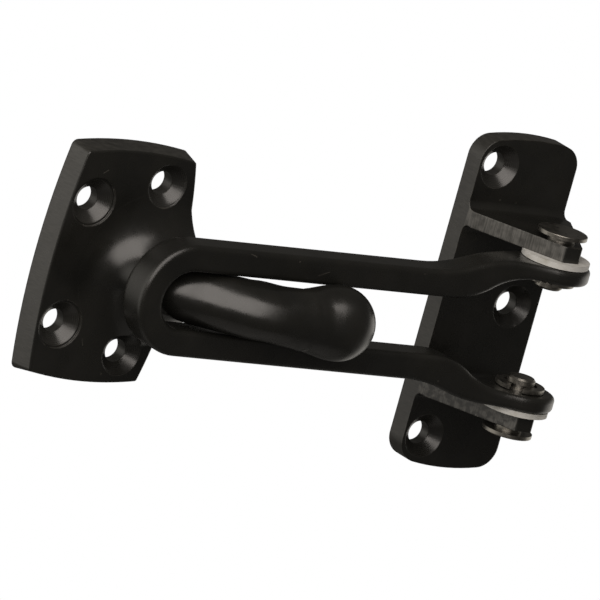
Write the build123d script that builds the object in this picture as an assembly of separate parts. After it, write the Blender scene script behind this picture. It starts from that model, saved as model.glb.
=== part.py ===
from build123d import *
import math
import os

# Door guard: a U-shaped bar swings on a hinge plate and is caught by the ball-ended horn of a keeper.
# Millimetres. The plane Y = 0 is the door and its frame, and the room lies towards -Y.
# X runs from the keeper to the hinge plate, and Z is up, along the pivot.
# The origin is the centre of the hinge plate's back. "Rise" is the distance out from the plane Y = 0.

os.makedirs("parts", exist_ok=True)

# Hinge plate and its two ears
hinge_length = 75.0
hinge_width = 26.0
hinge_thickness = 5.0
hinge_end_bulge = 1.5
hinge_corner_radius = 5.0
end_hole_edge_distance = 5.5
end_hole_end_distance = 6.7
middle_hole_edge_distance = 6.8
ear_thickness = 3.5
ear_shoulder = 3.0
ear_tip_width = 4.2
ear_tip_reach = 5.5
ear_tip_corner = 0.6
ear_root_fillet = 1.8
pivot_rise = 22.5

# Screw holes of both plates
screw_hole_diameter = 5.2
countersink_diameter = 9.8
countersink_angle = 90.0
land_diameter = 10.8
land_depth = 0.5

# Swing bar
bar_reach = 108.0
bar_width = 5.9
bar_depth = 7.4
bar_edge_radius = 1.0
slot_width = 13.1
eye_radius = 8.1
eye_thickness = 3.4
eye_spacing = 25.6
outer_spread_start = 33.0
outer_spread_end = 11.0
inner_spread_start = 27.0
inner_spread_end = 6.2
eye_neck_radius = 30.0

# Pivot pins, washers and retaining clips
pin_diameter = 6.2
pin_running_clearance = 0.05
pin_head_diameter = 11.0
pin_head_thickness = 0.9
pin_head_edge = 0.2
pin_head_float = 1.2
pin_tail = 1.5
pin_tail_chamfer = 0.4
groove_depth = 0.7
clip_diameter = 10.9
clip_thickness = 0.9
clip_rim_width = 1.7
clip_prong_width = 2.0
clip_mouth_width = 2.9
clip_play = 0.2
clip_clearance = 0.05
clip_mouth_direction = 225.0
washer_diameter = 15.0
washer_thickness = 1.2
washer_play = 0.1
washer_bore_clearance = 0.15

# Keeper and its horn
keeper_corner_length = 51.3
keeper_corner_width = 30.3
keeper_thickness = 5.4
keeper_far_bulge = 2.0
keeper_near_bulge = 3.3
keeper_end_bulge = 1.2
keeper_back_corner = 1.6
keeper_front_corner = 0.6
keeper_edge_round = 0.4
keeper_draft = 0.95
far_pair_offset = 9.5
far_pair_spacing = 27.6
near_pair_offset = 8.3
near_pair_spacing = 38.0
keeper_lead = 0.4
flare_foot_radius = 17.4
flare_lean = 2.5
flare_foot_offset = 9.0
flare_hollow = 0.88
flare_sections = 10
flare_bar_clearance = 0.7
neck_slot_clearance = 0.35
horn_bend_offset = 25.0
horn_bend_radius = 17.5
horn_inner_radius = 5.25
horn_crotch_ease = 2.5
horn_sections = 8
horn_taper_sections = 4
horn_taper_length = 8.5
stem_radius = 6.75
stem_swell = 0.15
ball_offset = 42.3
ball_radius = 8.2
ball_bar_clearance = 0.3

# Levels and places that follow from the sizes above
eye_inner = eye_spacing / 2
eye_outer = eye_inner + eye_thickness
ear_inner = eye_outer + washer_play + washer_thickness
ear_outer = ear_inner + ear_thickness
arm_inner = slot_width / 2
arm_outer = arm_inner + bar_width
bar_front = pivot_rise + bar_depth / 2
bar_back = pivot_rise - bar_depth / 2
pin_bore_radius = pin_diameter / 2 + pin_running_clearance
clip_outer = eye_inner - clip_play
clip_inner = clip_outer - clip_thickness
neck_radius = slot_width / 2 - neck_slot_clearance
keeper_x = -(bar_reach - bar_width) + keeper_lead
ball_contact = ball_radius + ball_bar_clearance + bar_edge_radius
horn_rise = bar_front - bar_edge_radius + math.sqrt(ball_contact**2 - (arm_inner + bar_edge_radius) ** 2)
flare_top_rise = bar_back - flare_bar_clearance
bend_x = keeper_x + horn_bend_offset
bend_rise = horn_rise - horn_bend_radius
horn_outer_radius = horn_bend_radius + neck_radius
stem_x = bend_x + horn_taper_length

# Sketch plane of the plates: local x is X, local y is Z and local z is the rise
MOUNTING = Plane(origin=(0, 0, 0), x_dir=(1, 0, 0), z_dir=(0, -1, 0))
BOTTOM = (Align.CENTER, Align.CENTER, Align.MIN)


def convex_outline(width, length, near_bulge, far_bulge, end_bulge, corner_radius):
    """Outline with its corners width x length apart, whose sides bow outwards by the given bulges."""
    x = width / 2
    z = length / 2
    sides = []
    for sign, bulge in ((1, near_bulge), (-1, far_bulge)):
        ends = [(sign * x, -sign * z), (sign * x, sign * z)]
        if bulge > 0:
            sides.append(ThreePointArc(ends[0], (sign * (x + bulge), 0), ends[1]))
        else:
            sides.append(Line(*ends))
        sides.append(ThreePointArc(ends[1], (0, sign * (z + end_bulge)), (-sign * x, sign * z)))
    face = make_face(sides)
    return fillet(face.vertices(), corner_radius)


def screw_hole(thickness, entry_diameter, entry_depth):
    """Cutter for a countersunk hole through a plate, its back at local z = 0."""
    hole_radius = screw_hole_diameter / 2
    sink_radius = countersink_diameter / 2
    sink_depth = (sink_radius - hole_radius) / math.tan(math.radians(countersink_angle / 2))
    sink_top = thickness - entry_depth
    cutter = Pos(0, 0, -thickness) * Cylinder(hole_radius, 2 * thickness, align=BOTTOM)
    cutter += Pos(0, 0, sink_top - sink_depth) * Cone(hole_radius, sink_radius, sink_depth, align=BOTTOM)
    cutter += Pos(0, 0, sink_top) * Cylinder(entry_diameter / 2, thickness, align=BOTTOM)
    return cutter


def ear_outline():
    """Ear seen along the pivot: as wide as the plate at its root, tapering to a narrow flat tip past the pivot."""
    half_width = hinge_width / 2
    shoulder = -(hinge_thickness + ear_shoulder)
    tip = -(pivot_rise + ear_tip_reach)
    face = make_face(
        Polyline(
            (ear_tip_width / 2, tip),
            (half_width, shoulder),
            (half_width, -hinge_thickness / 2),
            (-half_width, -hinge_thickness / 2),
            (-half_width, shoulder),
            (-ear_tip_width / 2, tip),
            close=True,
        )
    )
    return fillet(face.vertices().sort_by(Axis.Y)[:2], ear_tip_corner)


def hinge_plate():
    """Mounting plate with three screw holes and two ears bored for the pivot pins."""
    corner_length = hinge_length - 2 * hinge_end_bulge
    outline = convex_outline(hinge_width, corner_length, 0, 0, hinge_end_bulge, hinge_corner_radius)
    plate = extrude(MOUNTING * outline, hinge_thickness)
    for side in (1, -1):
        ear = extrude(Pos(0, 0, side * ear_inner) * ear_outline(), side * ear_thickness)
        plate += ear
    roots = plate.edges().filter_by(Axis.X).filter_by(
        lambda e: abs(e.center().Y + hinge_thickness) < 1e-3 and abs(e.center().Z) < ear_outer + 1e-3
    )
    plate = fillet(roots, ear_root_fillet)
    end_x = -hinge_width / 2 + end_hole_edge_distance
    end_z = hinge_length / 2 - end_hole_end_distance
    middle_x = hinge_width / 2 - middle_hole_edge_distance
    hole = screw_hole(hinge_thickness, countersink_diameter, 0)
    for x, z in ((end_x, end_z), (end_x, -end_z), (middle_x, 0)):
        plate -= MOUNTING * Pos(x, z, 0) * hole
    bore = Cylinder(pin_bore_radius, 2 * ear_outer)
    return plate - Pos(0, -pivot_rise, 0) * bore


def spread_curve(start, end):
    """Two equal arcs that carry an edge of an arm from one level to another, level at both ends."""
    middle = ((start[0] + end[0]) / 2, (start[1] + end[1]) / 2)
    first = TangentArc(start, middle, tangent=(end[0] - start[0], 0))
    second = TangentArc(middle, end, tangent=first % 1)
    return [first, second]


def bar_side_profile():
    """Bar seen along Y: two arms round the slot, spreading and thinning into the eyes."""
    edges = []
    outer = (arm_outer, eye_outer, -outer_spread_start, -outer_spread_end)
    inner = (arm_inner, eye_inner, -inner_spread_start, -inner_spread_end)
    for level, eye_level, start_x, end_x in (outer, inner):
        turn_x = -(bar_reach - arm_outer)
        for side in (1, -1):
            edges.append(Line((eye_radius, side * eye_level), (end_x, side * eye_level)))
            edges += spread_curve((end_x, side * eye_level), (start_x, side * level))
            edges.append(Line((start_x, side * level), (turn_x, side * level)))
        edges.append(ThreePointArc((turn_x, level), (turn_x - level, 0), (turn_x, -level)))
    for side in (1, -1):
        edges.append(Line((eye_radius, side * eye_inner), (eye_radius, side * eye_outer)))
    return make_face(edges)


def swing_bar():
    """One-piece bar, its outline seen along Y cut by its outline seen along Z."""
    across = MOUNTING * Pos(0, 0, pivot_rise) * bar_side_profile()
    body = extrude(across, eye_radius, both=True)
    strip = Pos(-bar_reach / 2, 0) * Rectangle(bar_reach, bar_depth)
    plan = strip + Circle(eye_radius)
    necks = plan.vertices().filter_by(lambda v: -bar_reach + bar_depth < v.X < -bar_edge_radius)
    plan = fillet(necks, eye_neck_radius)
    body &= extrude(Pos(0, -pivot_rise, 0) * plan, eye_outer, both=True)
    body = fillet(body.edges(), bar_edge_radius)
    return body - Pos(0, -pivot_rise, 0) * Cylinder(pin_bore_radius, 2 * eye_outer)


def pivot_pin(side):
    """Headed pin: thin head outside the ear, shank through ear, washer and eye, groove for the clip."""
    head_level = ear_outer + pin_head_float
    tail_level = clip_inner - pin_tail
    radius = pin_diameter / 2
    shank = Pos(0, 0, tail_level) * Cylinder(radius, head_level - tail_level, align=BOTTOM)
    shank = chamfer(shank.edges().group_by(Axis.Z)[0], pin_tail_chamfer)
    head = Pos(0, 0, head_level) * Cylinder(pin_head_diameter / 2, pin_head_thickness, align=BOTTOM)
    head = fillet(head.edges().group_by(Axis.Z)[-1], pin_head_edge)
    groove = Cylinder(radius, clip_thickness + 2 * clip_clearance, align=BOTTOM)
    groove -= Cylinder(radius - groove_depth, clip_thickness + 2 * clip_clearance, align=BOTTOM)
    pin = shank + head - Pos(0, 0, clip_inner - clip_clearance) * groove
    return place_at_pivot(pin, side)


def washer(side):
    """Plain plastic washer against the ear's inner face."""
    ring = Cylinder(washer_diameter / 2, washer_thickness, align=BOTTOM)
    ring -= Cylinder(pin_diameter / 2 + washer_bore_clearance, washer_thickness, align=BOTTOM)
    return place_at_pivot(Pos(0, 0, ear_inner - washer_thickness) * ring, side)


def retaining_clip(side):
    """Flat E-shaped clip: an open rim with three prongs that reach into the pin's groove."""
    rim_radius = clip_diameter / 2
    window_radius = rim_radius - clip_rim_width
    seat_radius = pin_diameter / 2 - groove_depth + clip_clearance
    blank = Circle(rim_radius) - Circle(window_radius)
    for turn in (0, 115, -115):
        prong = Pos(-window_radius / 2 - clip_rim_width / 2, 0) * Rectangle(window_radius, clip_prong_width)
        blank += Rot(0, 0, turn) * prong
    blank -= Circle(seat_radius)
    blank -= Pos(rim_radius / 2, 0) * Rectangle(rim_radius, clip_mouth_width)
    clip = extrude(Rot(0, 0, clip_mouth_direction) * blank, clip_thickness)
    return place_at_pivot(Pos(0, 0, clip_inner) * clip, side)


def place_at_pivot(shape, side):
    """Carries a piece built about Z to the pivot, and mirrors it below the bar for side = -1."""
    if side < 0:
        shape = mirror(shape, about=Plane.XY)
    return Pos(0, -pivot_rise, 0) * shape


def horn_section(turn):
    """Deep oval section of the horn where it has turned this far, its crotch eased where it leaves the flare."""
    inner = horn_inner_radius + horn_crotch_ease * math.cos(turn) ** 4
    middle = (horn_outer_radius + inner) / 2
    place = (bend_x - middle * math.cos(turn), -bend_rise - middle * math.sin(turn), 0)
    along = (math.sin(turn), -math.cos(turn), 0)
    across = (math.cos(turn), math.sin(turn), 0)
    return Plane(origin=place, x_dir=across, z_dir=along) * Ellipse((horn_outer_radius - inner) / 2, neck_radius)


def taper_section(share):
    """Section of the horn this share of the way from the end of its bend to the round stem."""
    ease = share * (2 - share)
    swell = (stem_radius - neck_radius) * share**2
    top = horn_rise + neck_radius + swell
    bottom = (bend_rise + horn_inner_radius) * (1 - ease) + (horn_rise - stem_radius) * ease
    place = (bend_x + horn_taper_length * share, -(top + bottom) / 2, 0)
    plane = Plane(origin=place, x_dir=(0, 1, 0), z_dir=(1, 0, 0))
    return plane * Ellipse((top - bottom) / 2, neck_radius + swell)


def horn():
    """Horn of the keeper: a deep bend through the bar's slot, tapering into a round stem with a ball end."""
    sections = []
    for step in range(horn_sections + 1):
        sections.append(horn_section(math.pi / 2 * step / horn_sections))
    for step in range(1, horn_taper_sections + 1):
        sections.append(taper_section(step / horn_taper_sections))
    bend = loft(sections)
    ball_x = keeper_x + ball_offset
    swell = Spline((stem_x, stem_radius), (ball_x, ball_radius), tangents=[(1, stem_swell), (1, 0)])
    ball = ThreePointArc(
        (ball_x, ball_radius),
        (ball_x + ball_radius * math.sin(math.pi / 4), ball_radius * math.cos(math.pi / 4)),
        (ball_x + ball_radius, 0),
    )
    base = Polyline((ball_x + ball_radius, 0), (stem_x, 0), (stem_x, stem_radius))
    stem = revolve(make_face([swell, ball, base]), Axis.X)
    return bend + Pos(0, -horn_rise, 0) * stem


def flare():
    """Solid flare round the foot of the horn, running out into the keeper's front face and into the horn."""
    height = flare_top_rise - keeper_thickness
    rise = flare_top_rise - bend_rise
    near_reach = math.sqrt(horn_outer_radius**2 - rise**2)
    far_reach = math.sqrt(horn_inner_radius**2 - rise**2)
    top_along = (near_reach - far_reach) / 2
    top_x = bend_x - (near_reach + far_reach) / 2
    foot_x = keeper_x + flare_foot_offset
    sections = []
    for step in range(flare_sections + 1):
        level = (step / flare_sections) ** 2
        spread = (1 - level**flare_hollow) ** (1 / flare_hollow)
        along = top_along * (1 - spread) + flare_foot_radius * spread
        across = neck_radius * (1 - spread) + flare_foot_radius * spread
        centre = foot_x + (top_x - foot_x) * level
        place = MOUNTING * Pos(centre, 0, keeper_thickness + level * height)
        sections.append(place * Ellipse(along, across))
    return loft(sections)


def keeper_outline(inset, corner_radius):
    """Outline of the keeper's plate at the given inset from its back."""
    width = keeper_corner_width - 2 * inset
    length = keeper_corner_length - 2 * inset
    return convex_outline(width, length, keeper_near_bulge, keeper_far_bulge, keeper_end_bulge, corner_radius)


def keeper():
    """Cast keeper: drafted plate with four screw holes, and the flare and horn that catch the bar."""
    at = MOUNTING * Pos(keeper_x, 0, 0)
    back = keeper_outline(0, keeper_back_corner)
    front = keeper_outline(keeper_draft, keeper_front_corner)
    plate = loft([at * back, at * Pos(0, 0, keeper_thickness) * front], ruled=True)
    plate = fillet(plate.faces().sort_by(Axis.Y)[0].edges(), keeper_edge_round)
    bound = keeper_outline(keeper_draft + keeper_edge_round, keeper_front_corner)
    low = at * Pos(0, 0, keeper_thickness) * bound
    high = at * Pos(flare_lean, 0, flare_top_rise) * bound
    column = loft([low, high], ruled=True)
    body = plate + (flare() & column) + horn()
    far_hole = screw_hole(keeper_thickness, land_diameter, land_depth)
    near_hole = screw_hole(keeper_thickness, countersink_diameter, 0)
    for side in (1, -1):
        body -= at * Pos(-far_pair_offset, side * far_pair_spacing / 2, 0) * far_hole
        body -= at * Pos(near_pair_offset, side * near_pair_spacing / 2, 0) * near_hole
    return body


def write(name, shape):
    """Writes one piece to its own file."""
    export_step(shape, f"parts/{name}.step")


write("hinge_plate", hinge_plate())
write("swing_bar", swing_bar())
write("keeper", keeper())
for level, side in (("upper", 1), ("lower", -1)):
    write(f"{level}_pivot_pin", pivot_pin(side))
    write(f"{level}_washer", washer(side))
    write(f"{level}_retaining_clip", retaining_clip(side))
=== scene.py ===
import logging
from dataclasses import dataclass, field
from enum import Enum
from typing import Iterable

import bmesh
import bpy
from mathutils import Matrix, Vector


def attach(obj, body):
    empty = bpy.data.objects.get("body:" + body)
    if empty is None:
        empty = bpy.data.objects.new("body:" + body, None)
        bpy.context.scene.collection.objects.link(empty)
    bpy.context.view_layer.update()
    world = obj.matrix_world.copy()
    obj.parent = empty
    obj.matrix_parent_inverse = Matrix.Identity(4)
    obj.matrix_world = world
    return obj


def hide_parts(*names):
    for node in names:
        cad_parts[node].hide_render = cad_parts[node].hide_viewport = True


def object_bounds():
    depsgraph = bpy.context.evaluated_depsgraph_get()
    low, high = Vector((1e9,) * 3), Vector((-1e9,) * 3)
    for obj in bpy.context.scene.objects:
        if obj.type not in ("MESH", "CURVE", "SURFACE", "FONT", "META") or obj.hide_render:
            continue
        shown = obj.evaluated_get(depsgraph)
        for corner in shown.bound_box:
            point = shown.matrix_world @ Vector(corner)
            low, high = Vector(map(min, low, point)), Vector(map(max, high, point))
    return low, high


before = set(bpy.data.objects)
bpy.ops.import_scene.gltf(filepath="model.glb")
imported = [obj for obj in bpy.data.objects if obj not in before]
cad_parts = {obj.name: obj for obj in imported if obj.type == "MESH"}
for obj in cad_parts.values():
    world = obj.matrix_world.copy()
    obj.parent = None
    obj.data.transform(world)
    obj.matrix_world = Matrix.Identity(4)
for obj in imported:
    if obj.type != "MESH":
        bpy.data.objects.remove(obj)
CAD_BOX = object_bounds()

MM = 0.001
TURN = 6.2832
WHITE = (1.0, 1.0, 1.0, 1.0)
LOG = logging.getLogger("door_guard")


class Link(Enum):
    """Whether an input of a shader node is set to a value or joined to another node."""

    VALUE = "value"
    SOCKET = "socket"


class NodeBench:
    """Lays out one shader tree, a node at a time."""

    def __init__(self, tree: bpy.types.NodeTree) -> None:
        """Starts from an empty tree.

        Args:
            tree: The node tree of a material or of the world.
        """
        self.tree = tree
        tree.nodes.clear()

    def add(self, kind: str, inputs: dict | None = None, **settings) -> bpy.types.Node:
        """Adds a node, sets its properties and fills its inputs.

        Args:
            kind: The node's Blender type.
            inputs: Input name or number to a value, or to an output socket to join.
            **settings: The node's own properties.

        Returns:
            The new node.
        """
        node = self.tree.nodes.new(kind)
        for name, value in settings.items():
            setattr(node, name, value)
        for name, value in (inputs or {}).items():
            socket = node.inputs[name]
            if self.kind_of(value) is Link.SOCKET:
                self.tree.links.new(value, socket)
            else:
                socket.default_value = value
        return node

    @staticmethod
    def kind_of(value: object) -> Link:
        """Tells a socket to join from a value to set."""
        return Link.SOCKET if isinstance(value, bpy.types.NodeSocket) else Link.VALUE

    def object_point(self) -> bpy.types.NodeSocket:
        """Gives the shaded point in the object's own frame, in metres."""
        return self.add("ShaderNodeTexCoord").outputs["Object"]

    def noise(
        self, point: bpy.types.NodeSocket, scale: float, detail: float = 3.0
    ) -> bpy.types.NodeSocket:
        """Adds a noise pattern.

        Args:
            point: The coordinates that the pattern reads.
            scale: Features per metre.
            detail: Octaves of finer noise.

        Returns:
            The pattern's value, from 0 to 1.
        """
        node = self.add("ShaderNodeTexNoise", {"Vector": point, "Scale": scale, "Detail": detail})
        return node.outputs["Fac"]

    def stretched(self, point: bpy.types.NodeSocket, scale: tuple) -> bpy.types.NodeSocket:
        """Scales coordinates by a different amount along each axis."""
        return self.add("ShaderNodeMapping", {"Vector": point, "Scale": scale}).outputs["Vector"]

    def spread(
        self, value: bpy.types.NodeSocket, source: tuple, target: tuple
    ) -> bpy.types.NodeSocket:
        """Maps one range of a value to another, clamped.

        Args:
            value: The value to map.
            source: The lowest and highest value read.
            target: What those two become.

        Returns:
            The mapped value.
        """
        inputs = {
            "Value": value,
            "From Min": source[0],
            "From Max": source[1],
            "To Min": target[0],
            "To Max": target[1],
        }
        return self.add("ShaderNodeMapRange", inputs).outputs["Result"]

    def math(self, operation: str, first, second) -> bpy.types.NodeSocket:
        """Combines two values with one arithmetic operation."""
        return self.add("ShaderNodeMath", {0: first, 1: second}, operation=operation).outputs[0]

    def mix_colour(self, factor, first, second) -> bpy.types.NodeSocket:
        """Blends two colours by a factor from 0 to 1."""
        node = self.add("ShaderNodeMix", data_type="RGBA")
        for name, value in (("Factor", factor), ("A", first), ("B", second)):
            socket = next(s for s in node.inputs if s.name == name and s.enabled)
            if self.kind_of(value) is Link.SOCKET:
                self.tree.links.new(value, socket)
            else:
                socket.default_value = value
        return next(s for s in node.outputs if s.enabled)

    def bump(
        self,
        height: bpy.types.NodeSocket,
        depth: float,
        strength: float,
        normal: bpy.types.NodeSocket | None = None,
    ) -> bpy.types.NodeSocket:
        """Turns a height pattern into a shading normal.

        Args:
            height: The pattern, from 0 to 1.
            depth: The height that 1 stands for, in metres.
            strength: How much of it shows.
            normal: The normal to start from, or none for the surface's own.

        Returns:
            The normal.
        """
        inputs = {"Height": height, "Distance": depth, "Strength": strength}
        if normal is not None:
            inputs["Normal"] = normal
        return self.add("ShaderNodeBump", inputs).outputs["Normal"]

    def apart(self, vector: bpy.types.NodeSocket) -> tuple:
        """Splits a vector into its three values."""
        return tuple(self.add("ShaderNodeSeparateXYZ", {0: vector}).outputs)

    def vector(self, operation: str, inputs: dict, output: str = "Vector") -> bpy.types.NodeSocket:
        """Applies one vector operation."""
        return self.add("ShaderNodeVectorMath", inputs, operation=operation).outputs[output]

    def product(self, *factors) -> bpy.types.NodeSocket:
        """Multiplies any number of masks."""
        result = factors[0]
        for factor in factors[1:]:
            result = self.math("MULTIPLY", result, factor)
        return result

    def output(self, shader: bpy.types.NodeSocket, kind: str = "ShaderNodeOutputMaterial") -> None:
        """Joins the finished shader to the tree's output."""
        self.add(kind, {"Surface": shader})


def new_material(name: str) -> tuple[bpy.types.Material, NodeBench]:
    """Makes an empty node material.

    Args:
        name: The material's name.

    Returns:
        The material and the bench for its tree.
    """
    material = bpy.data.materials.new(name)
    material.use_nodes = True
    return material, NodeBench(material.node_tree)


class Milling(Enum):
    """Which cut faces of a casting are left paler than its finish."""

    NONE = "none"
    WALLS = "walls"
    WALLS_AND_EARS = "walls and ears"


@dataclass(frozen=True)
class Mark:
    """A short scratch, or a speck where both ends are the same, in metres."""

    start: tuple
    end: tuple
    width: float
    tone: tuple = (0.16, 0.15, 0.13, 1.0)

    def mask(self, bench: NodeBench, point: bpy.types.NodeSocket) -> bpy.types.NodeSocket:
        """Gives 1 on the mark and 0 off it.

        Args:
            bench: The bench of the material that shows the mark.
            point: The shaded point.

        Returns:
            The mask.
        """
        along = Vector(self.end) - Vector(self.start)
        squared = max(along.length_squared, 1e-12)
        local = bench.vector("SUBTRACT", {0: point, 1: self.start})
        share = bench.vector("DOT_PRODUCT", {0: local, 1: tuple(along / squared)}, "Value")
        held = bench.spread(share, (0.0, 1.0), (0.0, 1.0))
        nearest = bench.vector("SCALE", {0: tuple(along), "Scale": held})
        distance = bench.vector("DISTANCE", {0: local, 1: nearest}, "Value")
        return bench.spread(distance, (0.25 * self.width, 0.5 * self.width), (1.0, 0.0))


@dataclass(frozen=True)
class BronzedCasting:
    """Very dark oil-rubbed bronze over cast metal, with a satin sheen and rubbed edges."""

    name: str
    milling: Milling = Milling.NONE
    holes: tuple = ()
    marks: tuple = ()
    dull_spot: tuple | None = None
    dark: tuple = (0.0090, 0.0090, 0.0080, 1.0)
    warm: tuple = (0.0130, 0.0126, 0.0108, 1.0)
    worn: tuple = (0.060, 0.056, 0.048, 1.0)
    cut: tuple = (0.120, 0.117, 0.108, 1.0)
    roughness: tuple = (0.23, 0.33)
    sheen: float = 0.66
    edge_radius: float = 0.35 * MM
    bevel_samples: int = 6
    cloud_scale: float = 90.0
    gloss_scale: float = 240.0
    peel_scale: float = 1600.0
    peel_depth: float = 0.03 * MM
    peel_strength: float = 0.22
    cut_roughness: float = 0.14
    wall_cut: float = 0.26
    wall_depth: float = 5.3 * MM
    wall_fade: float = 0.2 * MM
    lower_ear: tuple = (-10.0 * MM, -12.0 * MM)
    hole_reach: float = 5.0 * MM
    ring_pitch: float = 0.30 * MM
    ring_tone: tuple = (0.02, 0.12)
    dull_reach: float = 8.6 * MM
    dull_rise: float = 0.06

    def material(self) -> bpy.types.Material:
        """Builds the finish.

        Returns:
            The material.
        """
        material, bench = new_material(self.name)
        point = bench.object_point()
        radius = {"Radius": self.edge_radius}
        bevel = bench.add("ShaderNodeBevel", radius, samples=self.bevel_samples)
        soft = bevel.outputs["Normal"]
        cloud = bench.spread(bench.noise(point, self.cloud_scale), (0.35, 0.65), (0.0, 1.0))
        colour = bench.mix_colour(cloud, self.dark, self.warm)
        height = bench.noise(point, self.peel_scale)
        gloss = bench.noise(point, self.gloss_scale)
        roughness = bench.spread(gloss, (0.3, 0.7), self.roughness)
        colour = bench.mix_colour(self.rubbed(bench, point, soft), colour, self.worn)
        for mask, grain in self.cut_faces(bench, point):
            shade = bench.spread(grain, (0.3, 0.7), (0.25, 1.0))
            colour = bench.mix_colour(bench.product(mask, shade), colour, self.cut)
            roughness = bench.math("ADD", roughness, bench.product(mask, self.cut_roughness))
            height = bench.math("ADD", height, bench.product(mask, grain))
        if self.holes:
            rings, inside = self.turned(bench, point)
            height = bench.math("ADD", height, bench.product(rings, inside))
            pale = bench.product(inside, bench.spread(rings, (0.0, 1.0), self.ring_tone))
            colour = bench.mix_colour(pale, colour, self.cut)
        for mark in self.marks:
            colour = bench.mix_colour(mark.mask(bench, point), colour, mark.tone)
        if self.dull_spot:
            away = bench.vector("DISTANCE", {0: point, 1: self.dull_spot}, "Value")
            reach = (self.dull_reach, 0.8 * self.dull_reach)
            dull = bench.spread(away, reach, (0.0, self.dull_rise))
            roughness = bench.math("ADD", roughness, dull)
        shader = bench.add(
            "ShaderNodeBsdfPrincipled",
            {
                "Base Color": colour,
                "Roughness": roughness,
                "Specular IOR Level": self.sheen,
                "Normal": bench.bump(height, self.peel_depth, self.peel_strength, soft),
            },
        )
        bench.output(shader.outputs["BSDF"])
        return material

    def rubbed(
        self, bench: NodeBench, point: bpy.types.NodeSocket, soft: bpy.types.NodeSocket
    ) -> bpy.types.NodeSocket:
        """Gives 1 where an edge is rubbed through, broken up along its length.

        Args:
            bench: The material's bench.
            point: The shaded point.
            soft: The normal rounded over the edges.

        Returns:
            The mask.
        """
        plain = bench.add("ShaderNodeNewGeometry").outputs["Normal"]
        same = bench.vector("DOT_PRODUCT", {0: plain, 1: soft}, "Value")
        edge = bench.spread(same, (0.985, 0.86), (0.0, 1.0))
        breaks = bench.spread(bench.noise(point, 420.0, 5.0), (0.46, 0.62), (0.05, 0.8))
        return bench.product(edge, breaks)

    def cut_faces(self, bench: NodeBench, point: bpy.types.NodeSocket) -> list:
        """Gives the mask and the cutter's grain of each set of cut faces.

        Args:
            bench: The material's bench.
            point: The shaded point.

        Returns:
            Pairs of mask and grain.
        """
        if self.milling is Milling.NONE:
            return []
        facing = bench.apart(bench.add("ShaderNodeTexCoord").outputs["Normal"])
        _, depth, rise = bench.apart(point)
        brink = (-self.wall_depth - self.wall_fade, -self.wall_depth)
        outward = bench.spread(bench.math("ABSOLUTE", facing[1], 0.0), (0.30, 0.22), (0.0, 1.0))
        low = bench.spread(depth, brink, (0.0, 1.0))
        wall_grain = bench.noise(bench.stretched(point, (500.0, 500.0, 5200.0)), 1.0, 4.0)
        faces = [(bench.product(outward, low, self.wall_cut), wall_grain)]
        if self.milling is Milling.WALLS_AND_EARS:
            across = bench.math("ABSOLUTE", facing[0], 0.0)
            sideways = bench.spread(across, (0.72, 0.86), (0.0, 1.0))
            high = bench.spread(depth, brink, (1.0, 0.0))
            ear_grain = bench.noise(bench.stretched(point, (3600.0, 3600.0, 260.0)), 1.0, 4.0)
            blotch = bench.spread(bench.noise(point, 520.0, 4.0), (0.34, 0.60), (0.50, 1.15))
            lower = bench.spread(rise, self.lower_ear, (0.0, 1.0))
            upper = bench.math("SUBTRACT", 1.0, lower)
            stain = bench.spread(bench.noise(point, 900.0, 6.0), (0.44, 0.58), (0.15, 1.2))
            spotted = bench.math("ADD", bench.product(blotch, upper), bench.product(stain, lower))
            faces.append((bench.product(sideways, high, spotted), ear_grain))
        return faces

    def turned(self, bench: NodeBench, point: bpy.types.NodeSocket) -> tuple:
        """Gives the cutter's rings in the countersinks and the mask of where they are.

        Args:
            bench: The material's bench.
            point: The shaded point.

        Returns:
            The rings' height, and 1 inside the countersinks.
        """
        flat = bench.vector("MULTIPLY", {0: point, 1: (1.0, 0.0, 1.0)})
        nearest = None
        for x, z in self.holes:
            away = bench.vector("DISTANCE", {0: flat, 1: (x * MM, 0.0, z * MM)}, "Value")
            nearest = away if nearest is None else bench.math("MINIMUM", nearest, away)
        wave = bench.math("SINE", bench.math("MULTIPLY", nearest, TURN / self.ring_pitch), 0.0)
        rings = bench.spread(wave, (-1.0, 1.0), (0.0, 1.0))
        return rings, bench.spread(nearest, (self.hole_reach, 0.97 * self.hole_reach), (0.0, 1.0))


@dataclass(frozen=True)
class PlatedSteel:
    """Bright zinc plating on turned and stamped steel."""

    name: str
    pale: tuple = (0.33, 0.315, 0.285, 1.0)
    dull: tuple = (0.20, 0.19, 0.17, 1.0)
    roughness: tuple = (0.26, 0.42)
    turning_depth: float = 0.02 * MM

    def material(self) -> bpy.types.Material:
        """Builds the finish.

        Returns:
            The material.
        """
        material, bench = new_material(self.name)
        point = bench.object_point()
        cloud = bench.noise(point, 700.0)
        turning = bench.noise(bench.stretched(point, (300.0, 300.0, 9000.0)), 1.0)
        colour = bench.mix_colour(cloud, self.dull, self.pale)
        shader = bench.add(
            "ShaderNodeBsdfPrincipled",
            {
                "Base Color": colour,
                "Metallic": 1.0,
                "Roughness": bench.spread(cloud, (0.3, 0.7), self.roughness),
                "Normal": bench.bump(turning, self.turning_depth, 0.2),
            },
        )
        bench.output(shader.outputs["BSDF"])
        return material


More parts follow.
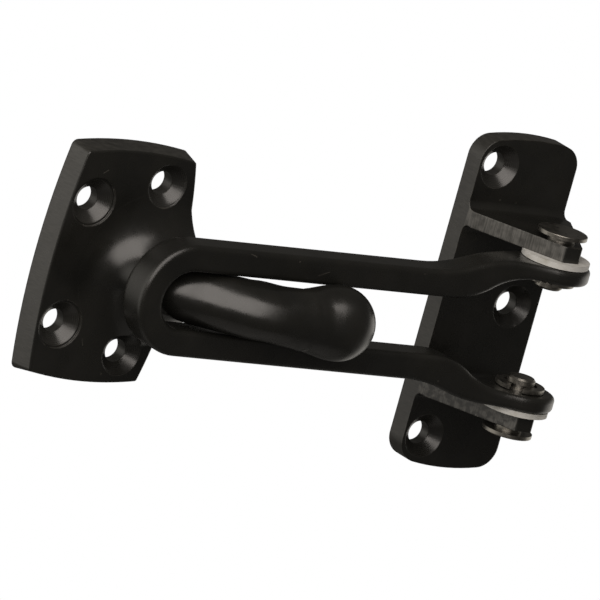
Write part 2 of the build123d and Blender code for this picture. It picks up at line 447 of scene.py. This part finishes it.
@dataclass(frozen=True)
class WhiteNylon:
    """Matt white nylon, slightly yellowed."""

    name: str
    clean: tuple = (0.58, 0.575, 0.55, 1.0)
    stained: tuple = (0.42, 0.41, 0.36, 1.0)
    grain_depth: float = 0.02 * MM

    def material(self) -> bpy.types.Material:
        """Builds the finish.

        Returns:
            The material.
        """
        material, bench = new_material(self.name)
        point = bench.object_point()
        stain = bench.spread(bench.noise(point, 400.0), (0.5, 0.8), (0.0, 1.0))
        grain = bench.noise(point, 5000.0)
        shader = bench.add(
            "ShaderNodeBsdfPrincipled",
            {
                "Base Color": bench.mix_colour(stain, self.clean, self.stained),
                "Roughness": 0.5,
                "Normal": bench.bump(grain, self.grain_depth, 0.2),
            },
        )
        bench.output(shader.outputs["BSDF"])
        return material


@dataclass(frozen=True)
class DrawnKeeper:
    """The keeper with its flare drawn in to a trumpet and a lower knee.

    The ball's sheen is softly waisted too, in its normals alone.
    """

    node: str = "keeper"
    slot: str = "bronzed_casting"
    foot: float = 5.4 * MM
    top: float = 18.1 * MM
    fullness: float = 0.88
    hollow: tuple = (0.50, 0.80)
    hollow_along: tuple = (-101.0 * MM, -94.0 * MM)
    hollow_below: tuple = (-1.0 * MM, 6.0 * MM)
    drop: float = 4.0 * MM
    drop_rise: tuple = (19.0 * MM, 33.0 * MM)
    drop_along: tuple = (-93.0 * MM, -74.0 * MM)
    ball: tuple = (-59.4 * MM, 30.97 * MM)
    ball_radius: float = 7.9 * MM
    waist_radius: float = 6.3 * MM
    waist_from: tuple = (-72.0 * MM, -65.0 * MM)
    waist_power: float = 6.0
    waist_share: float = 0.8
    waist_side: tuple = (-4.0 * MM, 1.0 * MM)
    cuts: int = 2
    step: float = 2e-6
    least_slope: float = 1e-4

    @staticmethod
    def eased(value: float, ends: tuple) -> float:
        """Rises smoothly from 0 to 1 between two ends."""
        share = min(1.0, max(0.0, (value - ends[0]) / (ends[1] - ends[0])))
        return share * share * (3.0 - 2.0 * share)

    def trumpet(self, rise: float, x: float, z: float) -> float:
        """Moves a height on the full flare to its height on the trumpet.

        Args:
            rise: Height above the keeper's back, in metres.
            x: Place along the guard, since the flare stays fuller towards the ball.
            z: Height up the door, since it stays fuller only on the lower side.

        Returns:
            The new height.
        """
        level = (rise - self.foot) / (self.top - self.foot)
        if not 0.0 < level < 1.0:
            return rise
        fuller = self.eased(x, self.hollow_along) * self.eased(-z, self.hollow_below)
        hollow = self.hollow[0] + (self.hollow[1] - self.hollow[0]) * fuller
        spread = (1.0 - level**self.fullness) ** (1.0 / self.fullness)
        return self.foot + (self.top - self.foot) * (1.0 - spread**hollow) ** (1.0 / hollow)

    def bent(self, point: Vector) -> Vector:
        """Moves a point of the solid by the trumpet and the lower knee.

        Args:
            point: The point on the solid, in metres.

        Returns:
            The point on the drawn form.
        """
        rise = self.trumpet(-point.y, point.x, point.z)
        lower = self.eased(rise, self.drop_rise) * (1.0 - self.eased(point.x, self.drop_along))
        return Vector((point.x, self.drop * lower - rise, point.z))

    def turned(self, normal: Vector, point: Vector) -> Vector:
        """Turns a normal of the solid as the trumpet and the knee turn its surface.

        Args:
            normal: The normal on the solid.
            point: Its point on the solid.

        Returns:
            The normal on the drawn form.
        """
        if -point.y <= self.foot or point.x >= self.drop_along[1]:
            return normal
        rows = []
        for axis in range(3):
            reach = Vector((0.0, 0.0, 0.0))
            reach[axis] = self.step
            slope = (self.bent(point + reach) - self.bent(point - reach)) / (2.0 * self.step)
            slope[axis] += self.least_slope
            rows.append(slope)
        return (Matrix(rows).inverted_safe() @ normal).normalized()

    def waisted(self, normal: Vector, point: Vector) -> Vector:
        """Leans a normal of the stem as a waist before the ball does.

        Args:
            normal: The normal on the drawn form.
            point: Its point.

        Returns:
            The normal with the waist's lean.
        """
        if not self.waist_from[0] < point.x < self.ball[0] or -point.y < self.top:
            return normal
        share = self.eased(point.x, self.waist_from) * self.eased(point.z, self.waist_side)
        across = Vector((0.0, point.y + self.ball[1], point.z)).normalized()
        reach = 10.0 * self.step
        slope = (self.girth(point.x + reach) - self.girth(point.x - reach)) / (2.0 * reach)
        leaned = (across - Vector((slope, 0.0, 0.0))).normalized()
        return normal.lerp(leaned, self.waist_share * share).normalized()

    def girth(self, x: float) -> float:
        """Gives the radius of a waisted stem and its ball at a place along the horn."""
        away = x - self.ball[0]
        sphere = max(self.ball_radius**2 - away * away, 0.0) ** 0.5
        power = self.waist_power
        return self.waist_radius * (1.0 + (sphere / self.waist_radius) ** power) ** (1.0 / power)

    def build(self, material: bpy.types.Material) -> bpy.types.Object:
        """Builds the keeper's form and lets it stand for the node.

        Args:
            material: The keeper's finish.

        Returns:
            The new piece.
        """
        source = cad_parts[self.node].data
        form = bmesh.new()
        form.from_mesh(source)
        lean = form.loops.layers.float_vector.new("lean")
        for face, polygon in zip(form.faces, source.polygons):
            for loop, corner in zip(face.loops, polygon.loop_indices):
                loop[lean] = source.corner_normals[corner].vector
        low, high = -self.foot + 0.01 * MM, -self.top
        band = [e for e in form.edges if all(high < v.co.y < low for v in e.verts)]
        bmesh.ops.subdivide_edges(form, edges=band, cuts=self.cuts, use_grid_fill=True)
        bmesh.ops.triangulate(form, faces=[f for f in form.faces if len(f.verts) > 3])
        normals = []
        for face in form.faces:
            for loop in face.loops:
                point = loop.vert.co
                normals.append(self.waisted(self.turned(loop[lean], point), point))
        for vertex in form.verts:
            vertex.co = self.bent(vertex.co)
        mesh = bpy.data.meshes.new("keeper_form")
        form.to_mesh(mesh)
        form.free()
        mesh.polygons.foreach_set("use_smooth", [True] * len(mesh.polygons))
        mesh.normals_split_custom_set(normals)
        mesh.materials.append(material)
        piece = bpy.data.objects.new("keeper_form", mesh)
        bpy.context.scene.collection.objects.link(piece)
        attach(piece, "keeper")
        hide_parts(self.node)
        LOG.info("keeper drawn in, %d faces", len(mesh.polygons))
        return piece


def dress(names: Iterable[str], material: bpy.types.Material) -> None:
    """Gives CAD nodes a finish.

    Args:
        names: The nodes.
        material: The finish.
    """
    for name in names:
        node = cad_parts[name]
        node.data.materials.clear()
        node.data.materials.append(material)
        LOG.info("%s wears %s", name, material.name)


def speck(
    x: float, y: float, z: float, width: float, tone: tuple = (0.060, 0.056, 0.048, 1.0)
) -> Mark:
    """Makes a round speck.

    Args:
        x: Its place along X, in millimetres.
        y: Its place along Y.
        z: Its place along Z.
        width: How wide it is.
        tone: Its colour.

    Returns:
        The mark.
    """
    place = (x * MM, y * MM, z * MM)
    return Mark(place, place, width * MM, tone)


def scratch(
    start: tuple, end: tuple, width: float, tone: tuple = (0.050, 0.047, 0.041, 1.0)
) -> Mark:
    """Makes a straight scratch.

    Args:
        start: One end, in millimetres.
        end: The other end.
        width: How wide it is.
        tone: Its colour.

    Returns:
        The mark.
    """
    return Mark(tuple(v * MM for v in start), tuple(v * MM for v in end), width * MM, tone)


@dataclass
class Guard:
    """The door guard's nodes and what each is made of."""

    steel: tuple = (
        "upper_pivot_pin",
        "lower_pivot_pin",
        "upper_retaining_clip",
        "lower_retaining_clip",
    )
    nylon: tuple = ("upper_washer", "lower_washer")
    steel_finish: PlatedSteel = field(default_factory=lambda: PlatedSteel("plated_steel"))
    nylon_finish: WhiteNylon = field(default_factory=lambda: WhiteNylon("white_nylon"))

    def hinge_finish(self) -> BronzedCasting:
        """Gives the finish of the plate with the two ears."""
        holes = ((-7.5, 30.8), (-7.5, -30.8), (6.2, 0.0))
        marks = (
            speck(-5.05, -5.0, 23.5, 0.45),
            speck(-0.6, -5.0, 23.2, 0.35),
            speck(-8.4, -5.0, 17.2, 0.9, (0.30, 0.22, 0.09, 1.0)),
            scratch((-9.6, -5.0, -12.0), (-8.2, -5.0, -13.1), 0.22),
        )
        return BronzedCasting("hinge_casting", Milling.WALLS_AND_EARS, holes, marks)

    def keeper_finish(self) -> BronzedCasting:
        """Gives the finish of the plate with the horn."""
        holes = ((-111.2, 13.8), (-111.2, -13.8), (-93.4, 19.0), (-93.4, -19.0))
        marks = (
            scratch((-110.8, -5.4, 20.4), (-109.7, -5.4, 21.2), 0.28),
            speck(-97.2, -5.4, -23.8, 0.5),
            speck(-111.0, -5.4, -8.2, 0.3),
            scratch((-104.6, -5.4, -16.4), (-103.9, -5.4, -18.0), 0.18),
        )
        ball = (-59.4 * MM, -30.97 * MM, 0.0)
        return BronzedCasting("keeper_casting", Milling.WALLS, holes, marks, ball)

    def bar_finish(self) -> BronzedCasting:
        """Gives the finish of the slotted bar."""
        marks = (
            scratch((-83.4, -26.2, 12.1), (-81.3, -26.2, 11.4), 0.30),
            scratch((-64.1, -26.2, 8.6), (-61.3, -26.2, 9.7), 0.18),
            speck(-69.8, -26.2, 11.3, 0.4),
            speck(-36.3, -26.2, 11.4, 0.35),
            speck(-24.9, -26.2, -12.0, 0.4),
            scratch((-12.0, -26.0, -14.8), (-10.1, -26.2, -14.0), 0.3),
        )
        return BronzedCasting("bar_casting", marks=marks, edge_radius=1.1 * MM)

    def build(self) -> None:
        """Dresses every node."""
        dress(("hinge_plate",), self.hinge_finish().material())
        DrawnKeeper().build(self.keeper_finish().material())
        dress(("swing_bar",), self.bar_finish().material())
        dress(self.steel, self.steel_finish.material())
        dress(self.nylon, self.nylon_finish.material())


@dataclass(frozen=True)
class PhotoCamera:
    """The long lens that took the photograph, fitted to the guard's corners."""

    right: tuple = (0.7941, -0.5481, 0.2626)
    forward: tuple = (0.6026, 0.7664, -0.2224)
    offset: tuple = (0.0381160, -0.0007274, 4.1386)
    focal_pixels: float = 19184.7
    frame_pixels: float = 600.0
    sensor: float = 36.0

    def build(self) -> None:
        """Makes the camera and hands it to the scene."""
        forward = Vector(self.forward).normalized()
        right = Vector(self.right)
        right = (right - forward * right.dot(forward)).normalized()
        down = forward.cross(right)
        axes = Matrix((right, down, forward))
        place = -(axes.transposed() @ Vector(self.offset))
        data = bpy.data.cameras.new("photo_camera")
        data.sensor_width = self.sensor
        data.lens = self.focal_pixels / self.frame_pixels * self.sensor
        data.clip_end = 100.0
        camera = bpy.data.objects.new("photo_camera", data)
        turned = Matrix((right, -down, -forward)).transposed().to_4x4()
        camera.matrix_world = Matrix.Translation(place) @ turned
        bpy.context.scene.collection.objects.link(camera)
        bpy.context.scene.camera = camera
        LOG.info("camera at %s", tuple(round(v, 3) for v in place))


@dataclass(frozen=True)
class Lamp:
    """A rectangular soft light that faces the guard."""

    name: str
    place: tuple
    size: tuple
    power: float
    tint: tuple = (1.0, 0.93, 0.87)
    aim: tuple = (-0.06, -0.01, 0.0)

    def build(self) -> None:
        """Makes the lamp and turns it to its aim."""
        data = bpy.data.lights.new(self.name, "AREA")
        data.shape = "RECTANGLE"
        data.size, data.size_y = self.size
        data.energy = self.power
        data.color = self.tint
        lamp = bpy.data.objects.new(self.name, data)
        turn = (Vector(self.aim) - Vector(self.place)).to_track_quat("-Z", "Y")
        lamp.matrix_world = Matrix.Translation(self.place) @ turn.to_matrix().to_4x4()
        lamp.visible_camera = False
        bpy.context.scene.collection.objects.link(lamp)
        LOG.info("lamp %s", self.name)


@dataclass(frozen=True)
class Glow:
    """A bright part of the surround, fading out with the angle from its middle."""

    way: tuple
    reach: tuple
    strength: float

    def value(self, bench: NodeBench, way: bpy.types.NodeSocket) -> bpy.types.NodeSocket:
        """Gives the glow's strength in a direction.

        Args:
            bench: The world's bench.
            way: The direction looked in.

        Returns:
            The strength.
        """
        middle = tuple(Vector(self.way).normalized())
        side = bench.vector("DOT_PRODUCT", {0: way, 1: middle}, "Value")
        return bench.spread(side, self.reach, (0.0, self.strength))


@dataclass
class Studio:
    """Pale floor, a soft lamp, and a surround that is white to the camera.

    To every other ray the surround is dim, with a few glows.
    """

    floor_drop: float = 2.0
    floor_half: float = 1.0
    floor_colour: tuple = (0.8, 0.8, 0.8, 1.0)
    dim: float = 0.06
    warm: tuple = (1.0, 0.955, 0.88, 1.0)
    glows: tuple = (
        Glow((-0.94, 0.34, 0.02), (0.70, 0.97), 0.90),
        Glow((0.95, 0.20, -0.25), (0.80, 0.97), 1.0),
    )
    lamps: tuple = (
        Lamp("key_softbox", (-0.55, -0.59, 0.67), (0.95, 1.45), 12.4),
    )

    def build(self) -> None:
        """Makes the floor, the lamps and the world."""
        self.make_floor()
        self.make_world()
        for lamp in self.lamps:
            lamp.build()

    def make_floor(self) -> None:
        """Makes the floor, white to the camera and plain pale to everything else."""
        data = bpy.data.meshes.new("floor")
        half = self.floor_half
        level = CAD_BOX[0][2] - self.floor_drop
        corners = [(-half, -half), (half, -half), (half, half), (-half, half)]
        data.from_pydata([(x, y, level) for x, y in corners], [], [(0, 1, 2, 3)])
        floor = bpy.data.objects.new("floor", data)
        bpy.context.scene.collection.objects.link(floor)
        material, bench = new_material("pale_floor")
        path = bench.add("ShaderNodeLightPath")
        pale = bench.add("ShaderNodeBsdfDiffuse", {"Color": self.floor_colour})
        white = bench.add("ShaderNodeEmission", {"Color": WHITE, "Strength": 1.0})
        shader = bench.add(
            "ShaderNodeMixShader",
            {0: path.outputs["Is Camera Ray"], 1: pale.outputs[0], 2: white.outputs[0]},
        )
        bench.output(shader.outputs[0])
        data.materials.append(material)

    def make_world(self) -> None:
        """Makes the surround, white to the camera and the sum of the glows to every other ray."""
        world = bpy.data.worlds.new("surround")
        world.use_nodes = True
        bench = NodeBench(world.node_tree)
        way = bench.add("ShaderNodeTexCoord").outputs["Generated"]
        shaded = bench.math("ADD", self.glows[0].value(bench, way), self.dim)
        for glow in self.glows[1:]:
            shaded = bench.math("ADD", shaded, glow.value(bench, way))
        room = bench.add("ShaderNodeBackground", {"Color": self.warm, "Strength": shaded})
        white = bench.add("ShaderNodeBackground", {"Color": WHITE, "Strength": 1.0})
        camera = bench.add("ShaderNodeLightPath").outputs["Is Camera Ray"]
        sky = bench.add("ShaderNodeMixShader", {0: camera, 1: room.outputs[0], 2: white.outputs[0]})
        bench.output(sky.outputs[0], "ShaderNodeOutputWorld")
        bpy.context.scene.world = world


def main() -> None:
    """Builds the scene."""
    logging.basicConfig(level=logging.INFO)
    bpy.context.scene.view_settings.view_transform = "Standard"
    Guard().build()
    PhotoCamera().build()
    Studio().build()


if __name__ == "__main__":
    main()
